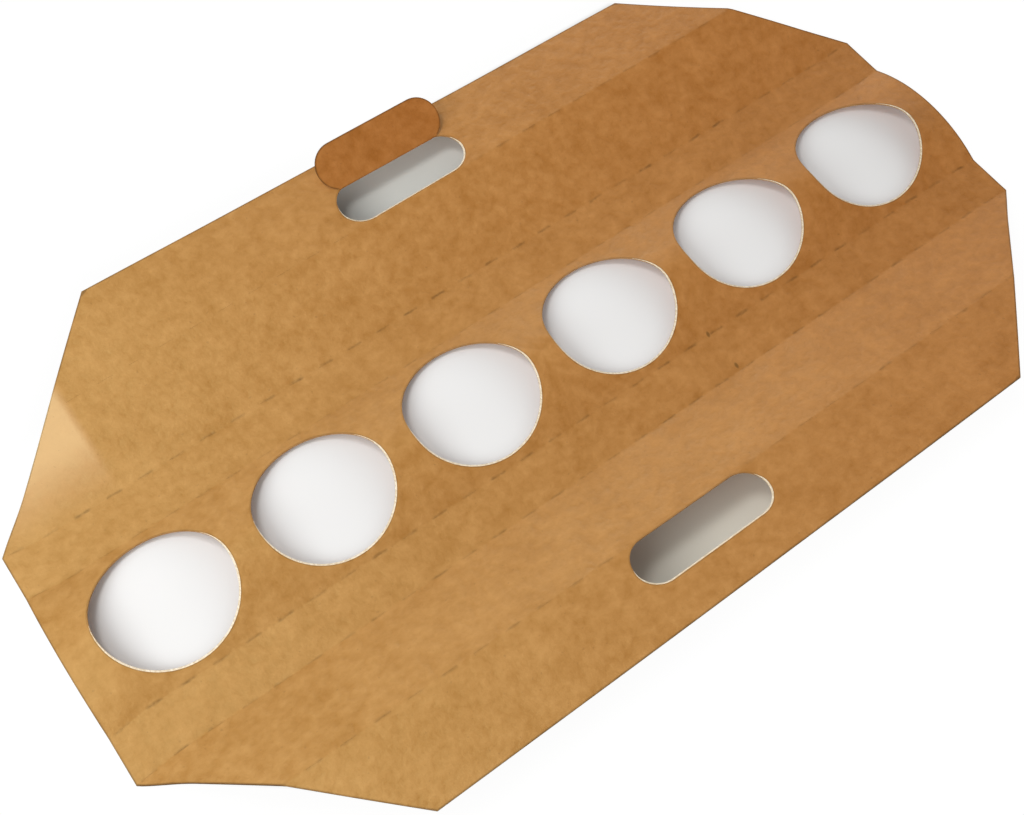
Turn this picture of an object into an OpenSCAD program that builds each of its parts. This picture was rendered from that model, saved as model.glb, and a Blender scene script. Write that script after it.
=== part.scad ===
// Cup carrier: one die-cut board with a row of cup holes, folded along six perforated creases.
// X runs along the row of holes, Y across it, Z up; the flat foot strips rest on Z = 0.

/* [Board] */
// Thickness of the board
board = 0.8; // [0.6:0.1:1.2]
// Length from end edge to end edge
sheet_length = 572; // [562:1:640]
// Length of each long outer edge between the slanted corner cuts
long_edge = 362; // [300:1:420]

/* [Cup holes] */
// Number of cup holes in the row
hole_count = 6; // [2:1:6]
// Centre spacing of the cup holes
hole_pitch = 92; // [84:1:94]
// Diameter of each cup hole seen from above
hole_d = 71.4; // [60:0.2:74]

/* [Panels] */
// Width of the arched middle band between its two creases
band_width = 82; // [78:0.5:92]
// Rise of the middle band above its creases
band_rise = 11; // [5:0.5:20]
// Width of the flat foot strip on each side of the band
foot_width = 26.8; // [18:0.2:36]
// Width of each wing panel, from foot crease to rim crease
wing_width = 55.3; // [40:0.1:70]
// Width of each rim panel, from rim crease to outer edge
rim_width = 49; // [42:0.5:64]

/* [Folds] */
// Slope of both wing panels above the level
wing_angle = 22; // [10:1:50]
// Slope of the rim panel on the far side
rim_angle_far = 0; // [-12:1:12]
// Slope of the rim panel on the near side
rim_angle_near = 5; // [-12:1:12]

/* [Hand slots] */
// Length of each hand slot
slot_length = 80; // [70:1:100]
// Width of each hand slot, measured outwards from the rim crease
slot_width = 27; // [22:0.5:32]
// Distance of the flap's straight hinge line inside the far slot's outer side
hinge_inset = 0.5; // [0.4:0.1:4]
// Angle through which the far slot's flap has been turned up out of the slot
flap_angle = 140; // [95:1:155]

/* [Perforation] */
// Length of each perforation cut
dash_length = 9; // [4:0.5:11]
// Width of each perforation cut
dash_width = 0.4; // [0.3:0.1:0.8]
// Spacing of the perforation cuts along a crease
dash_pitch = 18.4; // [14:0.2:30]
// Offset of the rows of cuts from the middle of the sheet
dash_shift = -2.6; // [-4:0.2:4]
// Least length left uncut at each end of a crease
dash_margin = 2.5; // [2:0.5:12]

/* [Hidden] */
half_board = board / 2;
half_band = band_width / 2;
end_half = sheet_length / 2;
edge_half = long_edge / 2;
arch_r = (half_band * half_band + band_rise * band_rise) / (2 * band_rise);
arch_angle = asin(half_band / arch_r);
rim_half = end_half - (end_half - edge_half) * wing_width / (wing_width + rim_width);
slot_r = slot_width / 2;
hinge_at = slot_width - hinge_inset;
hinge_half = slot_length / 2 - slot_r + sqrt(slot_r * slot_r - pow(hinge_at - slot_r, 2));
reach = 4 * (band_rise + wing_width + rim_width);
kraft = [0.70, 0.47, 0.23];

// Points of the board's middle line on one side: band crease, foot crease, rim crease, outer edge
function band_crease() = [half_band, half_board];
function foot_crease() = band_crease() + [foot_width, 0];
function rim_crease() = foot_crease() + wing_width * [cos(wing_angle), sin(wing_angle)];
function outer_edge(rim_angle) = rim_crease() + rim_width * [cos(rim_angle), sin(rim_angle)];

// Unit normal of a line at angle a, and the corner of the board's face where lines at a and b meet at p
function up(a) = [-sin(a), cos(a)];
function face_corner(p, a, b, side) = p + side * half_board / cos((b - a) / 2) * up((a + b) / 2);

// Cross-section of the foot, wing and rim panels on the +Y side
module side_section(rim_angle) {
    polygon([
        band_crease() + half_board * up(0),
        face_corner(foot_crease(), 0, wing_angle, 1),
        face_corner(rim_crease(), wing_angle, rim_angle, 1),
        outer_edge(rim_angle) + half_board * up(rim_angle),
        outer_edge(rim_angle) - half_board * up(rim_angle),
        face_corner(rim_crease(), wing_angle, rim_angle, -1),
        face_corner(foot_crease(), 0, wing_angle, -1),
        band_crease() - half_board * up(0),
        band_crease() - half_board * up(-arch_angle)
    ]);
}

// Cross-section of the arched middle band
module band_section() {
    wedge = 4 * arch_r * [sin(arch_angle), cos(arch_angle)];
    translate([0, half_board + band_rise - arch_r]) intersection() {
        difference() {
            circle(r = arch_r + half_board, $fn = 240);
            circle(r = arch_r - half_board, $fn = 240);
        }
        polygon([[0, 0], wedge, [-wedge[0], wedge[1]]]);
    }
}

// The folded board over its whole length, before its corners are cut
module folded_board() {
    rotate([90, 0, 90]) linear_extrude(height = sheet_length, center = true) {
        band_section();
        side_section(rim_angle_far);
        mirror([1, 0]) side_section(rim_angle_near);
    }
}

// Plan outline of one half of the sheet, with its slanted corner cuts bent at the rim crease
module half_outline(rim_angle) {
    past = outer_edge(rim_angle)[0] + board;
    polygon([
        [-end_half, 0],
        [end_half, 0],
        [end_half, foot_crease()[0]],
        [rim_half, rim_crease()[0]],
        [edge_half, outer_edge(rim_angle)[0]],
        [edge_half, past],
        [-edge_half, past],
        [-edge_half, outer_edge(rim_angle)[0]],
        [-rim_half, rim_crease()[0]],
        [-end_half, foot_crease()[0]]
    ]);
}

module plan_outline() {
    translate([0, 0, -reach / 2]) linear_extrude(height = reach) {
        half_outline(rim_angle_far);
        mirror([0, 1]) half_outline(rim_angle_near);
    }
}

// Round-ended outline of a hand slot with one long side on the X axis
module slot_outline() {
    flat_x = slot_length / 2 - slot_r;
    translate([-flat_x, 0]) square([2 * flat_x, slot_width]);
    for (sx = [-1, 1]) translate([sx * flat_x, slot_r]) circle(r = slot_r, $fn = 96);
}

// The same outline cut straight along the flap's hinge line
module flap_outline() {
    intersection() {
        slot_outline();
        translate([-slot_length, 0]) square([2 * slot_length, hinge_at]);
    }
}

// Puts a part drawn on the level at the rim crease of the +Y side
module on_rim(rim_angle) {
    translate([0, rim_crease()[0], rim_crease()[1]]) rotate([rim_angle, 0, 0]) children();
}

// Cuts an outline through the rim panel
module hand_slot(rim_angle) {
    on_rim(rim_angle) translate([0, 0, -4 * board]) linear_extrude(height = 8 * board) children();
}

// Flap of the far slot, turned up about its hinge line
module flap() {
    on_rim(rim_angle_far) translate([0, hinge_at, 0]) rotate([-flap_angle, 0, 0])
        translate([0, -hinge_at, -half_board]) linear_extrude(height = board) flap_outline();
}

// Bead that joins the flap to the rim along its hinge
module flap_hinge() {
    on_rim(rim_angle_far) translate([0, hinge_at, 0]) rotate([0, 90, 0])
        cylinder(d = 1.5 * board, h = 2 * (hinge_half + board), center = true, $fn = 32);
}

module cup_holes() {
    for (i = [0 : hole_count - 1])
        translate([(i - (hole_count - 1) / 2) * hole_pitch, 0, -board])
            cylinder(d = hole_d, h = band_rise + 4 * board, $fn = 128);
}

// One row of perforation cuts along a crease of the +Y side, leaving out the stretch within gap of the middle
module perforation(crease, half, start, gap) {
    n = ceil(half / dash_pitch);
    for (i = [-n : n]) {
        x = dash_shift + start + i * dash_pitch;
        if (abs(x) + dash_length / 2 + dash_margin <= half && abs(x) - dash_length / 2 >= gap)
            translate([x, crease[0], crease[1]]) cube([dash_length, dash_width, 6 * board], center = true);
    }
}

// The rim crease's row is half a pitch out of step with the other two and stops at the hand slot
module side_perforations() {
    perforation(band_crease(), end_half, 0, -dash_length);
    perforation(foot_crease(), end_half, 0, -dash_length);
    perforation(rim_crease(), rim_half, dash_pitch / 2, slot_length / 2);
}

module carrier_sheet() {
    color(kraft) union() {
        difference() {
            intersection() {
                folded_board();
                plan_outline();
            }
            cup_holes();
            hand_slot(rim_angle_far) flap_outline();
            mirror([0, 1, 0]) hand_slot(rim_angle_near) slot_outline();
            side_perforations();
            mirror([0, 1, 0]) side_perforations();
        }
        flap();
        flap_hinge();
    }
}

carrier_sheet();
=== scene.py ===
"""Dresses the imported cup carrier: a die-cut kraft board, folded from its flat pattern, on a white floor."""

import math

import bmesh
import bpy
import numpy as np
from mathutils import Matrix
from mathutils.geometry import delaunay_2d_cdt


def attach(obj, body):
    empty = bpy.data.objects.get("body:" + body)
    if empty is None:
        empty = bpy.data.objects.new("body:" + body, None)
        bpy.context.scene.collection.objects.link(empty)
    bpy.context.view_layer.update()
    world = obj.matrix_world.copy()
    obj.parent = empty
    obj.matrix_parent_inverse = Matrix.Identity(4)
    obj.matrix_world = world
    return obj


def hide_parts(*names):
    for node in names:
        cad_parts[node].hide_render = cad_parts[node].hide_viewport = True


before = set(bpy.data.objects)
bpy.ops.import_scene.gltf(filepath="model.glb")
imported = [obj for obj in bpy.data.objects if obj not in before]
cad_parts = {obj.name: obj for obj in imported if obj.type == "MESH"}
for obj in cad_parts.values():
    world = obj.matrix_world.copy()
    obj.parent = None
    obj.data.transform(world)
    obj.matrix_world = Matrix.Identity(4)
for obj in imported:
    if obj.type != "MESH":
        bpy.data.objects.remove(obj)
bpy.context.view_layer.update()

# Sizes of the board in millimetres, measured on the flat sheet between its creases
MM = 0.001
BOARD = 0.8
END_HALF, EDGE_HALF = 286.0, 181.0
HOLE_COUNT, HOLE_PITCH, HOLE_R = 6, 92.0, 36.9
HOLE_PLACES = [(i - (HOLE_COUNT - 1) / 2) * HOLE_PITCH for i in range(HOLE_COUNT)]
HALF_BAND, BAND_RISE = 41.0, 11.0
FOOT, WING, RIM = 26.8, 55.3, 49.0
FOLD_ROUND = 1.1

# Hand slots of the far (1) and near (-1) side: start beyond the rim crease, length, width,
# width up to the flap's hinge, and middle along the sheet
SLOTS = {1: (1.6, 81.0, 27.0, 26.8, 1.6), -1: (0.5, 82.2, 25.4, 25.4, 0.0)}
HINGE_AT = SLOTS[1][0] + SLOTS[1][3]

# Flap of the far slot: its turn in degrees within FLAP_BEND of the hinge, and its curl over its width
FLAP_ANGLE, FLAP_CURL, FLAP_BEND = 146.0, -8.0, 1.8

# Perforation cuts: their rows stay DASH_MARGIN inside a crease's ends, and the rim crease's row leaves
# DASH_FREE in its middle for the slot; a thin web, coloured dark as painted shade, closes each cut
DASH_LENGTH, DASH_WIDTH, DASH_PITCH = 9.0, 0.06, 18.4
DASH_SHIFT, DASH_MARGIN, DASH_FREE, DASH_STEPS = -2.6, 2.5, 82.0, 16
WEB_DEPTH, WEB_OVERLAP = 0.15, 0.05

# Crushed cut edges of the holes and slots: width and depth, the direction in which they are crushed most,
# where round a rim that starts and over how much of it, the least depth, and where the pale core shows
CUT_BEVEL, CUT_DROP = 0.9, 0.45
CRUSH_TOWARD, CRUSH_FROM, CRUSH_SPAN = (0.2, -0.98), -0.55, 0.9
LEAST_CRUSH, PALE_FROM = 0.1, 0.12

# Slopes in degrees: in the middle of the sheet, their change over SLOPE_SPAN along it,
# and the bend of that change
SLOPE_SPAN = 200.0
BAND_EDGE, END_EDGE = (20.9, -0.3, 1.4), (24.5, 3.15, 0.0)
WING_FAR, RIM_FAR = (16.13, 4.1, 1.31), (0.48, -10.07, 1.69)
WING_NEAR, RIM_NEAR = (26.37, -1.39, 0.62), (7.5, 6.67, -1.51)
SIDES = ((WING_FAR, RIM_FAR), (WING_NEAR, RIM_NEAR))

# The band is a rounded ridge along the holes and an even arch at both ends of the sheet
RIDGE, EVEN_ARCH, ARCH_FROM = 5.3, 0.01, 262.0

# One end of the far wing is bent down by END_BEND degrees: where, how round, and how far from the foot crease
END_BEND_X, END_BEND, END_BEND_ROUND, END_BEND_REACH = -219.0, 2.0, 2.0, 42.0

# Slight waves of the wings and rims: height, length along the sheet for one radian, skew and start
WAVES = ((0.4, 61.0, 0.9 / 40.0, 0.0), (0.25, 27.0, -1.0 / 33.0, 1.3))
WAVE_EASE = 0.25

# Distances from the middle line of the flat sheet to its creases, the flap's hinge and the long edge
ARCH_R = (HALF_BAND**2 + BAND_RISE**2) / (2 * BAND_RISE)
S_BAND = ARCH_R * math.asin(HALF_BAND / ARCH_R)
S_FOOT = S_BAND + FOOT
S_RIM = S_FOOT + WING
S_HINGE = S_RIM + HINGE_AT
S_EDGE = S_RIM + RIM
RIM_HALF = END_HALF - (END_HALF - EDGE_HALF) * WING / (WING + RIM)
CREASES = (S_BAND, S_FOOT, S_RIM)

# Spacing of the mesh: rows and columns as margin at the start, margin at the end and spacing
SHEET_ROWS, BAND_ROWS, COLUMNS = (4.0, 3.0, 6.0), (3.0, 2.5, 3.0), (3.0, 2.0, 5.0)
CREASE_ROWS = (-1.9, -1.3, -0.8, -0.4, 0.0, 0.4, 0.8, 1.3, 1.9)
CREASE_NEAR, CREASE_ROOM, CUT_ROOM = 2.0, 0.25, 1.4
OUTLINE_STEP, SLOT_STEP, SLOT_STEPS, HOLE_STEPS = 3.0, 2.5, 24, 144
FLAP_BEND_ROWS = (0.25, 0.5, 0.75, 1.0, 1.3, 1.6, 2.0, 2.6, 3.4)
FLAP_ROWS_FROM, FLAP_ROW_STEP, FLAP_STEP, FLAP_SPARE_COLUMNS = 5.0, 2.5, 2.0, 8
FLAP_BEND_END, FLAP_BEND_ROOM, FLAP_ROOM, HINGE_BARE = 3.5, 0.22, 1.0, 1.0
FOLD_STEP = 0.05
CLOSE, ON_CUT = 0.05, 0.02
FAR_AWAY, EDGE_FAR = 1e3, 20.0


def smooth(t):
    """0 before 0, 1 after 1, and a smooth step between."""
    t = np.clip(t, 0.0, 1.0)
    return t * t * (3.0 - 2.0 * t)


def slope(values, x):
    """Slope of a panel at x along the sheet, in radians."""
    u = x / SLOPE_SPAN
    return math.radians(values[0] + values[1] * u + values[2] * u * u)


ACROSS = np.arange(0.0, S_EDGE + 2.0, FOLD_STEP)


def fold_table(x, band_values, ridge, wing_values, rim_values):
    """The (y, z) of the folded board at x along the sheet, for the distances ACROSS from its middle line."""
    band, wing, rim = slope(band_values, x), slope(wing_values, x), slope(rim_values, x)
    angle = -np.tanh(ridge * np.minimum(ACROSS, S_BAND) / S_BAND) / math.tanh(ridge) * band
    for crease, turn in ((S_BAND, band), (S_FOOT, wing), (S_RIM, rim - wing)):
        angle = angle + turn * smooth((ACROSS - crease) / (2 * FOLD_ROUND) + 0.5)
    middle, step = (angle[1:] + angle[:-1]) / 2, np.diff(ACROSS)
    y = np.concatenate(([0.0], np.cumsum(np.cos(middle) * step)))
    z = np.concatenate(([0.0], np.cumsum(np.sin(middle) * step)))
    return y, z - np.interp((S_BAND + S_FOOT) / 2, ACROSS, z) + BOARD / 2


# The cross-section is worked out at a few stations along the sheet and interpolated between them
STATION_COUNT, STATION_REACH = 7, 300.0
STATIONS = STATION_REACH * np.cos(np.pi * (np.arange(STATION_COUNT) + 0.5) / STATION_COUNT)
RIDGED = [[fold_table(x, BAND_EDGE, RIDGE, *side) for side in SIDES] for x in STATIONS]
ARCHED = [[fold_table(x, END_EDGE, EVEN_ARCH, *side) for side in SIDES] for x in STATIONS]


def surface(x, s):
    """Middle surface of the folded board at flat coordinates x and s, as an array of points."""
    t = np.abs(s)
    y, z = np.zeros(np.shape(x)), np.zeros(np.shape(x))
    end = smooth((np.abs(x) - ARCH_FROM) / (END_HALF - ARCH_FROM))
    for k, station in enumerate(STATIONS):
        weight = np.prod([(x - other) / (station - other) for other in np.delete(STATIONS, k)], axis=0)
        for (far, near), share in ((RIDGED[k], weight * (1.0 - end)), (ARCHED[k], weight * end)):
            y = y + share * np.where(s >= 0, np.interp(t, ACROSS, far[0]), -np.interp(t, ACROSS, near[0]))
            z = z + share * np.where(s >= 0, np.interp(t, ACROSS, far[1]), np.interp(t, ACROSS, near[1]))
    out = np.clip((t - S_FOOT) / (S_EDGE - S_FOOT), 0.0, 1.0)
    waves = sum(height * np.sin(x / length + skew * s + start) for height, length, skew, start in WAVES)
    z = z + out * smooth(out / WAVE_EASE) * waves
    past = END_BEND_X - x
    eased = np.maximum(past + END_BEND_ROUND, 0.0) ** 2 / (4 * END_BEND_ROUND)
    past = np.where(past > END_BEND_ROUND, past, eased)
    z = z - math.tan(math.radians(END_BEND)) * past * smooth((s - S_FOOT) / END_BEND_REACH)
    return np.stack((x, y, z), axis=-1)


def normals(point_at, u, v):
    """Unit normals of a surface given as a function of two flat coordinates."""
    d = 0.05
    du = point_at(u + d, v) - point_at(u - d, v)
    dv = point_at(u, v + d) - point_at(u, v - d)
    n = np.cross(du, dv)
    return n / np.linalg.norm(n, axis=-1, keepdims=True)


def slot_loop(side):
    """Closed outline of a side's hand slot, as places along the sheet and distances beyond the rim crease."""
    start, length, width, top, centre = SLOTS[side]
    r = width / 2
    last = math.asin(min(1.0, (top - r) / r))
    turns = [-math.pi / 2 + (last + math.pi / 2) * k / SLOT_STEPS for k in range(SLOT_STEPS + 1)]
    right = [(length / 2 - r + r * math.cos(a), start + r + r * math.sin(a)) for a in turns]
    return [(centre + x, d) for x, d in right] + [(centre - x, d) for x, d in reversed(right)]


def round_slot_clearance(side, x, d):
    """Distance outside a side's slot as if it weren't cut straight at a hinge, less than 0 inside it."""
    start, length, width, _, centre = SLOTS[side]
    ends = np.maximum(np.abs(x - centre) - length / 2 + width / 2, 0.0)
    return np.hypot(ends, d - start - width / 2) - width / 2


def slot_clearance(side, x, d):
    """Distance outside a side's slot, which may be cut straight at a hinge, less than 0 inside it."""
    return np.maximum(round_slot_clearance(side, x, d), d - SLOTS[side][0] - SLOTS[side][3])


def divided(loop, spacing):
    """The same closed outline with no side longer than spacing."""
    points = []
    for (ax, ay), (bx, by) in zip(loop, loop[1:] + loop[:1]):
        n = max(1, math.ceil(math.hypot(bx - ax, by - ay) / spacing))
        points += [(ax + (bx - ax) * k / n, ay + (by - ay) * k / n) for k in range(n)]
    return points


def first_dash(crease):
    """Middle of the perforation cut nearest the sheet's middle; the rim crease's row is out of step."""
    return DASH_SHIFT + (DASH_PITCH / 2 if crease == S_RIM else 0.0)


def dash_places(crease):
    """Middles of the perforation cuts along a crease; the rim crease's row stops at the slot."""
    half, gap = (RIM_HALF, DASH_FREE / 2) if crease == S_RIM else (END_HALF, -DASH_LENGTH)
    places = [first_dash(crease) + i * DASH_PITCH for i in range(-DASH_STEPS, DASH_STEPS + 1)]
    hold = DASH_LENGTH / 2
    return [x for x in places if abs(x) + hold + DASH_MARGIN <= half and abs(x) - hold >= gap]


def side_dashes(side, grow=0.0):
    """Corners of each perforation cut on a side of the board, larger by grow all round."""
    hx, hs = DASH_LENGTH / 2 + grow, DASH_WIDTH / 2 + grow
    return [[(x + a * hx, side * crease + b * hs) for a, b in ((-1, -1), (1, -1), (1, 1), (-1, 1))]
            for crease in CREASES for x in dash_places(crease)]


def dash_clearance(x, t):
    """Distance from a flat point to the nearest perforation cut, less than 0 inside it."""
    d = np.full(np.shape(x), FAR_AWAY)
    for crease in CREASES:
        for place in dash_places(crease):
            qx = np.abs(x - place) - DASH_LENGTH / 2
            qs = np.abs(t - crease) - DASH_WIDTH / 2
            outside = np.hypot(np.maximum(qx, 0), np.maximum(qs, 0))
            d = np.minimum(d, outside + np.minimum(np.maximum(qx, qs), 0))
    return d


def board_loops():
    """The board's outline, and the outlines of everything that is cut out of it."""
    outer = [(END_HALF, S_FOOT), (EDGE_HALF, S_EDGE), (-EDGE_HALF, S_EDGE), (-END_HALF, S_FOOT)]
    outer = outer + [(-x, -s) for x, s in outer]
    turns = [2 * math.pi * k / HOLE_STEPS for k in range(HOLE_STEPS)]
    cuts = [[(x + HOLE_R * math.cos(a), HOLE_R * math.sin(a)) for a in turns] for x in HOLE_PLACES]
    for side in SLOTS:
        cuts.append(divided([(x, side * (S_RIM + d)) for x, d in slot_loop(side)], SLOT_STEP))
        cuts += side_dashes(side)
    return divided(outer, OUTLINE_STEP), cuts


def outline_clearance(x, t):
    """Distance from a flat point in to the board's outer outline, less than 0 outside it."""
    ex, es = EDGE_HALF - END_HALF, S_EDGE - S_FOOT
    slant = ((np.abs(x) - END_HALF) * es - (t - S_FOOT) * ex) / -math.hypot(ex, es)
    return np.minimum(np.minimum(END_HALF - np.abs(x), S_EDGE - t), slant)


def cut_clearance(x, s):
    """Distance from a flat point to the nearest cup hole or hand slot, less than 0 inside one."""
    d = np.full(np.shape(x), FAR_AWAY)
    for place in HOLE_PLACES:
        d = np.minimum(d, np.hypot(x - place, s) - HOLE_R)
    out = np.abs(s) - S_RIM
    return np.minimum(d, np.where(s > 0, slot_clearance(1, x, out), slot_clearance(-1, x, out)))


def board_clearance(x, s):
    """Distance from a flat point to the nearest cut edge, less than 0 outside the board's material."""
    t = np.abs(s)
    return np.minimum(np.minimum(outline_clearance(x, t), dash_clearance(x, t)), cut_clearance(x, s))


def crushed(x, s):
    """Direction away from the nearest hole or slot, and how much its rim is crushed there, from 0 to 1."""
    d = 0.01
    out = np.stack((cut_clearance(x + d, s) - cut_clearance(x - d, s),
                    cut_clearance(x, s + d) - cut_clearance(x, s - d)), axis=-1)
    out = out / np.maximum(np.linalg.norm(out, axis=-1, keepdims=True), 1e-9)
    return out, smooth((out @ np.array(CRUSH_TOWARD) - CRUSH_FROM) / CRUSH_SPAN)


def drawn_back(flat):
    """The same flat points, with those on the rim of a hole or slot drawn back by the crushed cut edge."""
    x, s = flat[:, 0], flat[:, 1]
    out, amount = crushed(x, s)
    on_rim = (np.abs(cut_clearance(x, s)) < ON_CUT) & (s < S_HINGE - CLOSE)
    return flat + np.where(on_rim, CUT_BEVEL * amount, 0.0)[:, None] * out


def crush_depth(flat):
    """Depth of the crushed cut edge below the board's face, at flat points on a rim."""
    return CUT_DROP * np.maximum(crushed(flat[:, 0], flat[:, 1])[1], LEAST_CRUSH)


FRONT, BACK, CUT_EDGE, CORE, OUTER_EDGE, SLIT = range(6)


def wall_kind(x, s, upper):
    """Which edge of the board the upper or lower wall at a flat point belongs to."""
    t = np.abs(s)
    pale = (crushed(x, s)[1] > PALE_FROM) & (s < S_HINGE - CLOSE) & upper
    kind = np.where(outline_clearance(x, t) < CLOSE, OUTER_EDGE, np.where(pale, CUT_EDGE, CORE))
    return np.where(np.abs(dash_clearance(x, t)) < ON_CUT, SLIT, kind)


def triangulated(outer, cuts, inner, clearance):
    """Flat points and triangles of the material inside outer and outside the cuts."""
    same_point, least_area, least_clearance = 1e-5, 2e-4, 1e-3
    points, edges = [], []
    for loop in [outer] + cuts:
        first = len(points)
        points += loop
        edges += [(first + k, first + (k + 1) % len(loop)) for k in range(len(loop))]
    points += [tuple(p) for p in inner]
    flat, _, faces, *_ = delaunay_2d_cdt(points, edges, [], 0, same_point)
    flat = np.array([(p[0], p[1]) for p in flat])
    faces = np.array([tuple(f) for f in faces])
    a, b, c = (flat[faces[:, k]] for k in range(3))
    middle = (a + b + c) / 3
    wide = np.abs(np.cross(b - a, c - a)) / 2 > least_area
    return flat, faces[wide & (clearance(middle[:, 0], middle[:, 1]) > least_clearance)]


def thick_sheet(flat, faces, point_at, flip, kind_of_wall, front_places, depth_at):
    """Vertices, faces, kinds of face and flat coordinates of a sheet with the board's thickness."""
    used = np.unique(faces)
    index = np.full(len(flat), -1)
    index[used] = np.arange(len(used))
    flat, faces = flat[used], index[faces]
    turn = np.cross(flat[faces[:, 1]] - flat[faces[:, 0]], flat[faces[:, 2]] - flat[faces[:, 0]])
    faces = np.where((turn < 0)[:, None], faces[:, ::-1], faces)
    count, sign = len(flat), -1.0 if flip else 1.0
    top = faces[:, ::-1] if flip else faces
    sides = dict.fromkeys(e for a, b, c in top.tolist() for e in ((a, b), (b, c), (c, a)))
    rims = [(a, b) for a, b in sides if (b, a) not in sides]
    rim = sorted({a for a, _ in rims})
    ring = {a: 2 * count + k for k, a in enumerate(rim)}

    def layer(places, height):
        normal = normals(point_at, places[:, 0], places[:, 1]) * sign
        return point_at(places[:, 0], places[:, 1]) + normal * height

    vertices = np.concatenate((layer(front_places(flat), BOARD / 2), layer(flat, -BOARD / 2),
                               layer(flat[rim], (BOARD / 2 - depth_at(flat[rim]))[:, None])))
    walls = [(b, a, ring[a], ring[b]) for a, b in rims]
    walls += [(ring[b], ring[a], a + count, b + count) for a, b in rims]
    polygons = top.tolist() + (top[:, ::-1] + count).tolist() + walls
    middles = flat[np.array(rims)].mean(axis=1)
    kinds = [FRONT] * len(top) + [BACK] * len(top)
    for upper in (True, False):
        kinds += np.asarray(kind_of_wall(middles[:, 0], middles[:, 1], upper)).tolist()
    return vertices, polygons, kinds, np.concatenate((flat, flat, flat[rim]))


def spread(half, start, end, spacing):
    """Places from -half to half, with a margin at the start and at the end."""
    return np.arange(start - half, half - end, spacing)


def beside_crease(s):
    """Whether flat rows lie on or close beside a crease."""
    return np.min(np.abs(np.abs(s)[..., None] - np.array(CREASES)), axis=-1) < CREASE_NEAR


def board_sheet():
    """The folded board: vertices, faces, kinds of face, flat coordinates and distances to its edges."""
    outer, cuts = board_loops()
    rows = set(np.round(spread(S_EDGE, *SHEET_ROWS), 2)) | set(np.round(spread(S_BAND, *BAND_ROWS), 2))
    for crease in CREASES:
        for off in CREASE_ROWS:
            rows |= {round(crease + off, 3), round(-crease - off, 3)}
    inner = []
    for r, s in enumerate(sorted(rows)):
        shift = 0.0 if beside_crease(s) else (r % 2) * COLUMNS[2] / 2
        inner += [(x + shift, s) for x in spread(END_HALF, *COLUMNS)]
    inner = np.array(inner)
    x, s = inner[:, 0], inner[:, 1]
    room = np.where(beside_crease(s), CREASE_ROOM, CUT_ROOM)
    inner = inner[(board_clearance(x, s) > room) & (cut_clearance(x, s) > CUT_ROOM)]
    flat, faces = triangulated(outer, cuts, inner, board_clearance)
    vertices, polygons, kinds, where = thick_sheet(
        flat, faces, surface, False, wall_kind, drawn_back, crush_depth)
    x, s = where[:, 0], where[:, 1]
    edges = np.stack((outline_clearance(x, np.abs(s)), cut_clearance(x, s)), axis=-1)
    return vertices, polygons, kinds, where, edges


def slit_shade_webs():
    """A thin web across each perforation cut, which keeps it from being seen through; its dark colour is
    painted shade.
    """
    flat = np.array([corner for side in SLOTS for dash in side_dashes(side, WEB_OVERLAP) for corner in dash])
    quads = [tuple(range(k, k + 4)) for k in range(0, len(flat), 4)]
    x, s = flat[:, 0], flat[:, 1]
    points = surface(x, s) + normals(surface, x, s) * (BOARD / 2 - WEB_DEPTH)
    return points, quads, [SLIT] * len(quads), flat, np.full(flat.shape, EDGE_FAR)


def flap_point(x, d):
    """Middle surface of the flap at x along its hinge and d from the hinge towards its free edge."""
    ahead_by = 0.5
    t = np.arange(0.0, HINGE_AT + 1.0, FOLD_STEP)
    turn = np.radians(FLAP_ANGLE * smooth(t / FLAP_BEND) + FLAP_CURL * t / HINGE_AT)
    along = np.concatenate(([0.0], np.cumsum(-np.cos(turn[:-1])) * FOLD_STEP))
    rise = np.concatenate(([0.0], np.cumsum(np.sin(turn[:-1])) * FOLD_STEP))
    x = np.asarray(x, float)
    hinge = np.full(np.shape(x), S_HINGE)
    base = surface(x, hinge)
    ahead = surface(x, hinge + ahead_by) - base
    ahead = ahead / np.linalg.norm(ahead, axis=-1, keepdims=True)
    up = normals(surface, x, hinge)
    return base + ahead * np.interp(d, t, along)[..., None] + up * np.interp(d, t, rise)[..., None]


def flap_sheet():
    """The flap that is turned up out of the far slot, in the same terms as the folded board."""
    def clearance(x, d):
        return -slot_clearance(1, x, HINGE_AT - d)

    def wall(x, d, upper):
        return np.full(np.shape(x), OUTER_EDGE)

    def places(flat):
        return flat

    def depth(flat):
        return np.full(len(flat), CUT_DROP)

    loop, centre = slot_loop(1), SLOTS[1][4]
    outer = divided([(x, HINGE_AT - d) for x, d in loop], FLAP_STEP)
    rows = list(FLAP_BEND_ROWS) + list(np.arange(FLAP_ROWS_FROM, HINGE_AT - 1.0, FLAP_ROW_STEP))
    half = loop[SLOT_STEPS][0] - centre
    count, spare = math.ceil(2 * half / FLAP_STEP), FLAP_SPARE_COLUMNS
    columns = [centre + 2 * half / count * (k - count / 2) for k in range(-spare, count + spare + 1)]
    inner = np.array([(x, d) for d in rows for x in columns])
    room = np.where(inner[:, 1] < FLAP_BEND_END, FLAP_BEND_ROOM, FLAP_ROOM)
    inner = inner[clearance(inner[:, 0], inner[:, 1]) > room]
    flat, faces = triangulated(outer, [], inner, clearance)
    vertices, polygons, kinds, where = thick_sheet(flat, faces, flap_point, True, wall, places, depth)
    edge = -round_slot_clearance(1, where[:, 0], HINGE_AT - where[:, 1])
    edge = np.where(where[:, 1] < HINGE_BARE, EDGE_FAR, edge)
    where = np.stack((where[:, 0], S_HINGE - where[:, 1]), axis=-1)
    return vertices, polygons, kinds, where, np.stack((edge, np.full(len(edge), EDGE_FAR)), axis=-1)


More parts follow.
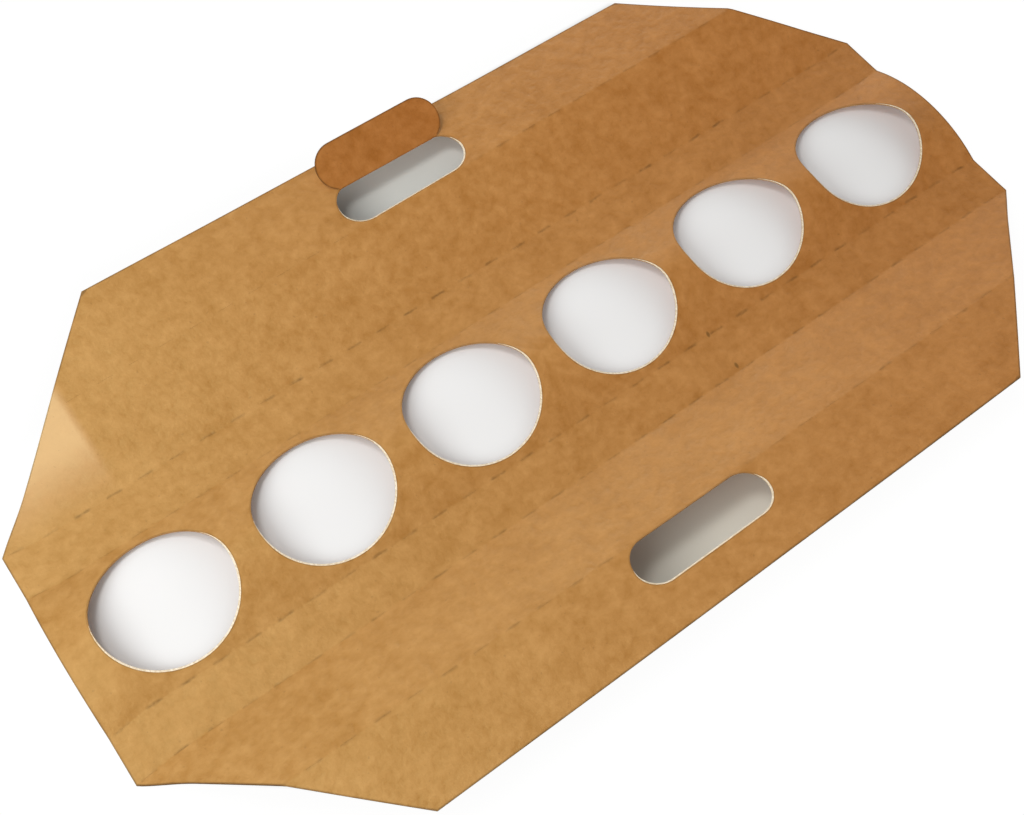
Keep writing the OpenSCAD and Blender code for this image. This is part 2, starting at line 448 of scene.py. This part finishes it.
def make_board(materials):
    """The whole carrier as one mesh, with its flat coordinates and edge distances in UV maps."""
    vertices, polygons, kinds, where, edges = [], [], [], [], []
    for v, p, k, w, e in (board_sheet(), flap_sheet(), slit_shade_webs()):
        first = sum(len(part) for part in vertices)
        vertices.append(v)
        polygons += [tuple(i + first for i in q) for q in p]
        kinds += k
        where.append(w)
        edges.append(np.clip(e, 0.0, EDGE_FAR))
    vertices, where, edges = (np.concatenate(part) * MM for part in (vertices, where, edges))
    mesh = bpy.data.meshes.new("carrier_board")
    mesh.from_pydata(vertices.tolist(), [], polygons)
    for material in materials:
        mesh.materials.append(material)
    mesh.polygons.foreach_set("material_index", kinds)
    corners = np.empty(len(mesh.loops), dtype=np.int32)
    mesh.loops.foreach_get("vertex_index", corners)
    for name, values in (("flat", where), ("edge", edges)):
        mesh.uv_layers.new(name=name).data.foreach_set("uv", values[corners].astype(np.float32).ravel())
    bm = bmesh.new()
    bm.from_mesh(mesh)
    for face in bm.faces:
        face.smooth = True
    for edge in bm.edges:
        edge.smooth = len({face.material_index for face in edge.link_faces}) == 1
    bm.to_mesh(mesh)
    bm.free()
    board = bpy.data.objects.new("carrier_board", mesh)
    bpy.context.scene.collection.objects.link(board)
    return board


class Nodes:
    """Short calls to build the node tree of a material or a world."""

    def __init__(self, owner):
        owner.use_nodes = True
        self.tree = owner.node_tree
        self.tree.nodes.clear()

    def add(self, kind, **values):
        node = self.tree.nodes.new(kind)
        for key, value in values.items():
            setattr(node, key, value)
        return node

    def put(self, socket, value):
        if hasattr(value, "is_output"):
            self.tree.links.new(value, socket)
        else:
            socket.default_value = value

    def show(self, output, surface):
        self.put(self.add(output).inputs["Surface"], surface)

    def math(self, operation, a, b=0.0):
        node = self.add("ShaderNodeMath", operation=operation)
        self.put(node.inputs[0], a)
        self.put(node.inputs[1], b)
        return node.outputs[0]

    def joined(self, operation, values):
        """All the values joined by one operation, in their order."""
        total = values[0]
        for value in values[1:]:
            total = self.math(operation, total, value)
        return total

    def ramp(self, value, low, high, out_low=0.0, out_high=1.0):
        """A smooth step from out_low to out_high as the value goes from low to high."""
        node = self.add("ShaderNodeMapRange", interpolation_type="SMOOTHSTEP")
        for socket, v in zip(node.inputs[:5], (value, low, high, out_low, out_high)):
            self.put(socket, v)
        return node.outputs[0]

    def mix(self, factor, a, b):
        node = self.add("ShaderNodeMix", data_type="RGBA")
        self.put(node.inputs[0], factor)
        self.put(node.inputs[6], a)
        self.put(node.inputs[7], b)
        return node.outputs[2]

    def noise(self, vector, scale, detail, roughness):
        node = self.add("ShaderNodeTexNoise", noise_dimensions="3D")
        self.put(node.inputs["Vector"], vector)
        self.put(node.inputs["Scale"], scale)
        self.put(node.inputs["Detail"], detail)
        self.put(node.inputs["Roughness"], roughness)
        return node.outputs["Fac"]

    def split(self, vector):
        node = self.add("ShaderNodeSeparateXYZ")
        self.put(node.inputs[0], vector)
        return node.outputs[0], node.outputs[1]


# How strongly the painted shade of the perforation cuts shows on the far and near side of each pair of
# creases
PERFORATION_SHADE_STRENGTHS = {S_BAND: (0.35, 1.0), S_FOOT: (1.0, 0.75), S_RIM: (0.5, 0.6)}

# Painted shade along the perforation cuts: soft ends inside and outside a cut's length, soft sides and wander
# in metres, the stretch of the far rim crease over which it appears, and two noises of scale, detail,
# roughness and range
MARK_ENDS, MARK_SIDES, MARK_WANDER, MARK_FADE = (-1.6, 1.0), (0.0002, 0.0014), 0.0022, (-0.16, 0.04)
WANDER_NOISE = (110.0, 2.0, 0.6)
MARK_NOISES = (((160.0, 2.0, 0.6), (0.36, 0.62, 0.3, 1.0)), ((38.0, 1.0, 0.5), (0.36, 0.60, 0.4, 1.0)))


def perforation_shade(n, where):
    """Painted shade along the perforation cuts, soft and uneven in strength and place, from 0 to 1."""
    x, s = n.split(where)
    wander = n.math("MULTIPLY", n.math("SUBTRACT", n.noise(where, *WANDER_NOISE), 0.5), MARK_WANDER)
    t = n.math("ADD", n.math("ABSOLUTE", s), wander)
    ends = [(DASH_LENGTH / 2 + by) / DASH_PITCH for by in MARK_ENDS]
    marks = []
    for crease, (far, near) in PERFORATION_SHADE_STRENGTHS.items():
        from_first = n.math("SUBTRACT", x, first_dash(crease) * MM)
        step = n.math("ADD", n.math("DIVIDE", from_first, DASH_PITCH * MM), 0.5)
        off = n.math("ABSOLUTE", n.math("SUBTRACT", n.math("FRACT", step), 0.5))
        along = n.ramp(off, *ends, 1.0, 0.0)
        across = n.ramp(n.math("ABSOLUTE", n.math("SUBTRACT", t, crease * MM)), *MARK_SIDES, 1.0, 0.0)
        mark = n.joined("MULTIPLY", (along, across, n.ramp(s, -MM, MM, near, far)))
        if crease == S_RIM:
            beside = n.ramp(n.math("ABSOLUTE", x), (DASH_FREE / 2 - 1.0) * MM, DASH_FREE / 2 * MM)
            fade = n.math("MAXIMUM", n.ramp(x, *MARK_FADE), n.math("LESS_THAN", s, 0.0))
            mark = n.joined("MULTIPLY", (mark, beside, fade))
        marks.append(mark)
    uneven = [n.ramp(n.noise(where, *noise), *span) for noise, span in MARK_NOISES]
    return n.joined("MULTIPLY", [n.joined("ADD", marks)] + uneven)


# Two small dark spots: their places on the flat sheet in millimetres, half sizes in metres, turn and soft rim
DARK_SPOT_PLACES = ((84.0, -S_BAND + 0.6), (84.3, -S_FOOT + 3.6))
DARK_SPOT_SIZE, DARK_SPOT_TURN, DARK_SPOT_RIM = (0.0011, 0.0022, 1.0), -0.15, (0.45, 1.15)


def dark_spots(n, where):
    """Two small dark spots across the creases of the near foot strip."""
    spots = []
    for x, s in DARK_SPOT_PLACES:
        shift = n.add("ShaderNodeMapping", vector_type="TEXTURE")
        n.put(shift.inputs["Vector"], where)
        n.put(shift.inputs["Location"], (x * MM, s * MM, 0.0))
        n.put(shift.inputs["Rotation"], (0.0, 0.0, DARK_SPOT_TURN))
        n.put(shift.inputs["Scale"], DARK_SPOT_SIZE)
        reach = n.add("ShaderNodeVectorMath", operation="LENGTH")
        n.put(reach.inputs[0], shift.outputs[0])
        spots.append(n.ramp(reach.outputs["Value"], *DARK_SPOT_RIM, 1.0, 0.0))
    return n.joined("MAXIMUM", spots)


# The end of the far wing, smoother and with a painted highlight: its soft border about the bend in
# millimetres, and in metres from the middle line where it comes in and where it goes out
GLOSS_HIGHLIGHT_BORDER, GLOSS_HIGHLIGHT_IN, GLOSS_HIGHLIGHT_OUT = (-4.5, 2.5), (0.066, 0.108), (0.132, 0.142)


def glossy_end_and_highlight(n, where):
    """The smoother end of the far wing, where a highlight is also painted into the colour, from 0 to 1."""
    x, s = n.split(where)
    border = [(END_BEND_X + by) * MM for by in GLOSS_HIGHLIGHT_BORDER]
    return n.math("MULTIPLY", n.ramp(x, *border, 1.0, 0.0),
                  n.math("MULTIPLY", n.ramp(s, *GLOSS_HIGHLIGHT_IN), n.ramp(s, *GLOSS_HIGHLIGHT_OUT, 1.0, 0.0)))


# Layers of the mottle, each with the scale, detail and roughness of its noise and its share of the tone,
# and the shares of three of them in the relief
MOTTLE = {
    "cloud": (24.0, 2.0, 0.5, 0.15),
    "patch": (60.0, 2.0, 0.5, 0.17),
    "blotch": (135.0, 2.0, 0.5, 0.29),
    "mottle": (300.0, 2.0, 0.6, 0.17),
    "grain": (1000.0, 1.0, 0.5, 0.05),
}
RELIEF = {"blotch": 1.6, "mottle": 0.5, "grain": 0.1}
RELIEF_STRENGTH, RELIEF_DEPTH = 0.8, 0.0005

# The mottle's greatest change of tone, and how much of it reaches the red, green and blue
TONE_SPAN, TONE_SHARES = 0.4, (0.9, 1.29, 2.27)

# Painted light: factors of the board's colour at its two ends, paler and yellower at the left and more orange
# at the right, standing in for a change of the light's colour along the sheet, and how far from the middle
# they are reached
LIGHT_DRIFT_REACH, LIGHT_DRIFT_LEFT, LIGHT_DRIFT_RIGHT = 0.30, (0.96, 1.093, 1.177), (1.04, 0.907, 0.823)

# Colours laid over the board, with their greatest share: a painted highlight, flecks, painted shade of the
# perforation cuts and two small dark spots
END_HIGHLIGHT_PAINT = (0.65, (0.55, 0.29, 0.145, 1))
FLECKS = (0.25, (0.20, 0.085, 0.028, 1))
PERFORATION_SHADE = (0.46, (0.11, 0.045, 0.010, 1))
DARK_SPOTS = (0.62, (0.10, 0.045, 0.008, 1))
FLECK_NOISE, FLECK_SPAN = (480.0, 1.0, 0.4), (0.70, 0.80)

# Painted shade: dark lines along the outline and the cuts, fading inwards, uneven in strength
EDGE_SHADE_COLOUR = (0.085, 0.036, 0.010, 1)
OUTLINE_FADE, CUT_FADE = (0.0002, 0.0011, 0.62, 0.0), (0.0002, 0.0012, 0.34, 0.0)
EDGE_SHADE_NOISE, EDGE_SHADE_SPAN = (70.0, 2.0, 0.6), (0.3, 0.6, 0.6, 1.0)

# Roughness, its change with the mottle, how much smoother and plainer the far wing's glossy end is, and the
# sheen's tint
ROUGHNESS, ROUGHNESS_SPAN, GLOSSY_END_SMOOTHER, GLOSSY_END_PLAINER = 0.5, 0.4, 0.21, 0.9
SHEEN_TINT = (1.0, 0.98, 0.50, 1)


def kraft_material(name, base, sheen):
    """Kraft board: cloudy mottle, flecks, dark spots, a faint satin sheen, and painted light: a colour drift,
    a highlight, and shade at the edges and perforations.
    """
    material = bpy.data.materials.new(name)
    n = Nodes(material)
    where = n.add("ShaderNodeUVMap", uv_map="flat").outputs[0]
    outline, cuts = n.split(n.add("ShaderNodeUVMap", uv_map="edge").outputs[0])
    layers = {layer: n.noise(where, *values[:3]) for layer, values in MOTTLE.items()}
    tone = 1.0
    for layer, values in MOTTLE.items():
        tone = n.math("ADD", tone, n.math("MULTIPLY", n.math("SUBTRACT", layers[layer], 0.5), values[3]))
    x, _ = n.split(where)
    # Painted light: the board's colour drifts from end to end in place of a change in the light's colour
    left, right = (tuple(v * k for v, k in zip(base, end)) + (1,) for end in (LIGHT_DRIFT_LEFT, LIGHT_DRIFT_RIGHT))
    darkest, palest = (tuple(1.0 + sign * TONE_SPAN * k for k in TONE_SHARES) + (1,) for sign in (-1, 1))
    shade = n.add("ShaderNodeVectorMath", operation="MULTIPLY")
    n.put(shade.inputs[0], n.mix(n.ramp(x, -LIGHT_DRIFT_REACH, LIGHT_DRIFT_REACH), left, right))
    n.put(shade.inputs[1], n.mix(n.ramp(tone, 1.0 - TONE_SPAN, 1.0 + TONE_SPAN), darkest, palest))
    colour = shade.outputs[0]
    gloss_and_highlight = glossy_end_and_highlight(n, where)
    flecks = n.ramp(n.noise(where, *FLECK_NOISE), *FLECK_SPAN)
    # Painted light laid over the colour: a highlight on the far wing's glossy end and shade along the
    # perforation cuts
    for mask, (share, paint) in ((gloss_and_highlight, END_HIGHLIGHT_PAINT), (flecks, FLECKS),
                                 (perforation_shade(n, where), PERFORATION_SHADE), (dark_spots(n, where), DARK_SPOTS)):
        colour = n.mix(n.math("MULTIPLY", mask, share), colour, paint)
    # Painted shade along the outline and the cut edges
    uneven_shade = n.ramp(n.noise(where, *EDGE_SHADE_NOISE), *EDGE_SHADE_SPAN)
    edge_shade = n.math("MAXIMUM", n.ramp(outline, *OUTLINE_FADE), n.ramp(cuts, *CUT_FADE))
    colour = n.mix(n.math("MULTIPLY", edge_shade, uneven_shade), colour, EDGE_SHADE_COLOUR)
    plain = n.math("SUBTRACT", 1.0, n.math("MULTIPLY", gloss_and_highlight, GLOSSY_END_PLAINER))
    blotch = n.math("SUBTRACT", layers["blotch"], 0.5)
    uneven = n.math("MULTIPLY", blotch, n.math("MULTIPLY", plain, ROUGHNESS_SPAN))
    even = n.math("SUBTRACT", ROUGHNESS, n.math("MULTIPLY", gloss_and_highlight, GLOSSY_END_SMOOTHER))
    height = n.joined("ADD", [n.math("MULTIPLY", layers[layer], share) for layer, share in RELIEF.items()])
    height = n.math("MULTIPLY", n.math("SUBTRACT", height, sum(RELIEF.values()) / 2), plain)
    bump = n.add("ShaderNodeBump")
    n.put(bump.inputs["Strength"], RELIEF_STRENGTH)
    n.put(bump.inputs["Distance"], RELIEF_DEPTH)
    n.put(bump.inputs["Height"], height)
    shader = n.add("ShaderNodeBsdfPrincipled")
    n.put(shader.inputs["Base Color"], colour)
    n.put(shader.inputs["Roughness"], n.math("ADD", uneven, even))
    n.put(shader.inputs["Specular IOR Level"], sheen)
    n.put(shader.inputs["Specular Tint"], SHEEN_TINT)
    n.put(shader.inputs["Normal"], bump.outputs[0])
    n.show("ShaderNodeOutputMaterial", shader.outputs[0])
    return material


# Streaks of the cut edges: scale of the coordinates, noise and range
STREAK_SCALE, STREAK_NOISE, STREAK_SPAN = (500.0, 500.0, 3500.0), (1.0, 2.0, 0.6), (0.35, 0.65)
EDGE_ROUGHNESS, EDGE_SHEEN = 0.85, 0.2


def edge_material(name, dark, light):
    """Cut edge of the board, with the thin layers of its core."""
    material = bpy.data.materials.new(name)
    n = Nodes(material)
    stretch = n.add("ShaderNodeMapping")
    n.put(stretch.inputs["Vector"], n.add("ShaderNodeTexCoord").outputs["Object"])
    n.put(stretch.inputs["Scale"], STREAK_SCALE)
    streak = n.noise(stretch.outputs[0], *STREAK_NOISE)
    shader = n.add("ShaderNodeBsdfPrincipled")
    n.put(shader.inputs["Base Color"], n.mix(n.ramp(streak, *STREAK_SPAN), dark, light))
    n.put(shader.inputs["Roughness"], EDGE_ROUGHNESS)
    n.put(shader.inputs["Specular IOR Level"], EDGE_SHEEN)
    n.show("ShaderNodeOutputMaterial", shader.outputs[0])
    return material


# Floor, in metres: the area that stays shaded under the board, with its foot and reach from the middle line,
# and how far it leans and shifts outwards where the wings rise
FLOOR_SIZE, FLOOR_Z, FLOOR_END, FLOOR_EDGE = 60.0, -0.0002, END_HALF * MM, EDGE_HALF * MM
FLOOR_FOOT, FLOOR_REACH, RISE = 0.0678, 0.168, (0.068, 0.168)
LEAN_NEAR, LEAN_FAR, SHIFT = 0.007, 0.016, (0.001, 0.008)

# Its turn to white at the border of that area, most of it inside and the rest beyond
WHITE_INSIDE, WHITE_BEYOND, WHITE = (-0.010, -0.002, 0.0, 0.94), (-0.002, 0.030, 0.0, 0.06), 1.02

# Painted light on it: its tone along the row of holes as painted shade, how much darker it is under the far
# and the near slot as painted shadow, and its tints as painted warm bounce light from the board
ROW_PAINTED_SHADE = (-0.25, 0.25, 0.84, 0.97)
FAR_SLOT, FAR_SLOT_PAINTED_SHADOW = (0.110, 0.125, 0.0, 1.0), (-0.040, 0.002, 0.42, 0.155)
NEAR_SLOT, NEAR_SLOT_PAINTED_SHADOW = (-0.115, -0.07, 1.0, 0.0), (-0.030, 0.025, 0.20, 0.02)
UNDER_WINGS, SIDE_TO_SIDE = (0.06, 0.125), (-0.06, 0.06)
HOLE_BOUNCE_TINT, NEAR_BOUNCE_TINT, FAR_BOUNCE_TINT = (1, 0.995, 0.985, 1), (1, 0.97, 0.84, 1), (0.98, 1, 0.94, 1)


def floor_material():
    """White floor: shaded under the board, with painted shade and painted warm bounce light there, and evenly
    white beyond its outline.
    """
    material = bpy.data.materials.new("studio_floor")
    n = Nodes(material)
    x, y = n.split(n.add("ShaderNodeTexCoord").outputs["Object"])
    away = n.math("ABSOLUTE", y)
    lean = n.math("ADD", n.ramp(y, -RISE[1], -RISE[0], LEAN_NEAR, 0.0), n.ramp(y, *RISE, 0.0, LEAN_FAR))
    ax = n.math("ABSOLUTE", n.math("SUBTRACT", x, n.ramp(away, *RISE, *SHIFT)))
    ay = n.math("ABSOLUTE", n.math("SUBTRACT", y, lean))
    run, fall = FLOOR_END - FLOOR_EDGE, FLOOR_REACH - FLOOR_FOOT
    span = math.hypot(run, fall)
    past_end = n.math("SUBTRACT", ax, FLOOR_END)
    slant = n.math("ADD", n.math("MULTIPLY", past_end, fall / span),
                   n.math("MULTIPLY", n.math("SUBTRACT", ay, FLOOR_FOOT), run / span))
    out_by = n.joined("MAXIMUM", (past_end, n.math("SUBTRACT", ay, FLOOR_REACH), slant))
    beyond = n.math("ADD", n.ramp(out_by, *WHITE_INSIDE), n.ramp(out_by, *WHITE_BEYOND))
    # Painted shadow on the floor under the far and the near slot
    far_slot_shadow = n.math("MULTIPLY", n.ramp(y, *FAR_SLOT), n.ramp(x, *FAR_SLOT_PAINTED_SHADOW))
    near_slot_shadow = n.math("MULTIPLY", n.ramp(y, *NEAR_SLOT), n.ramp(x, *NEAR_SLOT_PAINTED_SHADOW))
    slot_shadows = n.math("SUBTRACT", 1.0, n.math("ADD", far_slot_shadow, near_slot_shadow))
    # Painted shade along the row of holes
    tone = n.math("MULTIPLY", n.ramp(x, *ROW_PAINTED_SHADE), slot_shadows)
    # Painted warm bounce light from the board under the wings
    warm_bounce = n.mix(n.ramp(y, *SIDE_TO_SIDE), NEAR_BOUNCE_TINT, FAR_BOUNCE_TINT)
    painted_bounce = n.mix(n.ramp(away, *UNDER_WINGS), HOLE_BOUNCE_TINT, warm_bounce)
    shaded = n.add("ShaderNodeBsdfDiffuse")
    n.put(shaded.inputs["Color"], n.mix(tone, (0, 0, 0, 1), painted_bounce))
    path = n.add("ShaderNodeLightPath").outputs
    seen = n.joined("MAXIMUM", (path["Is Camera Ray"], path["Is Glossy Ray"], path["Is Transmission Ray"]))
    white = n.add("ShaderNodeEmission")
    n.put(white.inputs["Color"], (1, 1, 1, 1))
    n.put(white.inputs["Strength"], n.math("MULTIPLY", seen, WHITE))
    mixed = n.add("ShaderNodeMixShader")
    n.put(mixed.inputs[0], beyond)
    n.put(mixed.inputs[1], shaded.outputs[0])
    n.put(mixed.inputs[2], white.outputs[0])
    n.show("ShaderNodeOutputMaterial", mixed.outputs[0])
    return material


def set_camera():
    """Camera of the photograph: its axes, its place in millimetres and its focal length in pixels."""
    right, down = (0.80743, -0.589934, 0.005874), (-0.526634, -0.72521, -0.443539)
    forward = (0.265918, 0.355034, -0.896236)
    place, focal, width = (-216.302, -263.237, 631.936), 1325.91, 1024
    camera = bpy.data.cameras.new("camera")
    camera.sensor_width = 36.0
    camera.lens = focal / width * camera.sensor_width
    camera.clip_start, camera.clip_end = 0.01, 50.0
    holder = bpy.data.objects.new("camera", camera)
    turn = Matrix((right, [-v for v in down], [-v for v in forward])).transposed().to_4x4()
    turn.translation = [v * MM for v in place]
    turn.translation.z += BOARD / 2 * MM
    holder.matrix_world = turn
    bpy.context.scene.collection.objects.link(holder)
    bpy.context.scene.camera = holder


# Square lamps: name, place, size and power; each points at the row of holes, at LAMP_AIM times its own x
LAMPS = (
    ("left", (-0.65, 0.0, 0.55), 0.5, 1.97),
    ("left back", (-0.6, 0.5, 0.6), 0.5, 0.69),
    ("left front", (-0.6, -0.5, 0.6), 0.5, 1.15),
    ("left low", (-0.9, 0.1, 0.35), 0.4, 0.63),
    ("left spot", (-0.30, 0.18, 0.9), 0.25, 2.2),
    ("low back", (0.5, 1.2, 0.20), 0.6, 4.4),
)
LAMP_AIM = 0.35

# Broad patches of light all round: azimuth, elevation, sharpness and strength
SURROUNDINGS = (
    (0, 12, 10, 0.74),
    (45, 12, 10, 0.77),
    (90, 12, 10, 0.12),
    (270, 12, 10, 2.53),
    (60, 40, 6, 0.62),
    (180, 40, 6, 0.53),
)


def add_lamp(name, place, size, power):
    """A square soft lamp, turned to the board."""
    lamp = bpy.data.lights.new(name, "AREA")
    lamp.shape, lamp.size, lamp.energy = "SQUARE", size, power
    holder = bpy.data.objects.new(name, lamp)
    holder.location = place
    back = np.array(place) - np.array((place[0] * LAMP_AIM, 0.0, 0.0))
    back = back / np.linalg.norm(back)
    side = np.cross((0.0, 0.0, 1.0), back)
    side = side / np.linalg.norm(side)
    holder.rotation_euler = Matrix((side, np.cross(back, side), back)).transposed().to_euler()
    bpy.context.scene.collection.objects.link(holder)


def set_world():
    """Soft, plain surroundings."""
    world = bpy.data.worlds.new("studio")
    bpy.context.scene.world = world
    n = Nodes(world)
    direction = n.add("ShaderNodeTexCoord").outputs["Generated"]
    patches = []
    for azimuth, elevation, sharpness, strength in SURROUNDINGS:
        a, e = math.radians(azimuth), math.radians(elevation)
        toward = n.add("ShaderNodeVectorMath", operation="DOT_PRODUCT")
        n.put(toward.inputs[0], direction)
        n.put(toward.inputs[1], (math.cos(e) * math.cos(a), math.cos(e) * math.sin(a), math.sin(e)))
        fall = n.math("MULTIPLY", n.math("SUBTRACT", toward.outputs["Value"], 1.0), sharpness)
        patches.append(n.math("MULTIPLY", n.math("EXPONENT", fall), strength))
    background = n.add("ShaderNodeBackground")
    n.put(background.inputs["Color"], (1, 1, 1, 1))
    n.put(background.inputs["Strength"], n.joined("ADD", patches))
    n.show("ShaderNodeOutputWorld", background.outputs[0])


def set_stage():
    """Floor, lamps and surroundings."""
    bpy.ops.mesh.primitive_plane_add(size=FLOOR_SIZE, location=(0, 0, FLOOR_Z))
    floor = bpy.context.object
    floor.name = "floor"
    floor.data.materials.append(floor_material())
    for lamp in LAMPS:
        add_lamp(*lamp)
    set_world()


set_camera()
set_stage()
board = make_board((
    kraft_material("kraft_board", (0.485, 0.215, 0.056), 0.505),
    kraft_material("kraft_back", (0.42, 0.158, 0.036), 0.15),
    edge_material("kraft_cut_edge", (0.74, 0.60, 0.40, 1), (0.92, 0.82, 0.64, 1)),
    edge_material("kraft_core", (0.30, 0.15, 0.05, 1), (0.44, 0.25, 0.10, 1)),
    # The outer cut edge is coloured very dark as painted shade
    edge_material("kraft_outer_edge_shade", (0.10, 0.050, 0.016, 1), (0.18, 0.095, 0.035, 1)),
    # The walls and webs of the perforation cuts are darkened as painted shade inside the cuts
    edge_material("kraft_slit_shade", (0.30, 0.135, 0.032, 1), (0.36, 0.165, 0.04, 1)),
))
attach(board, "root")
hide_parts("carrier_sheet")

bpy.context.scene.view_settings.view_transform = "Standard"
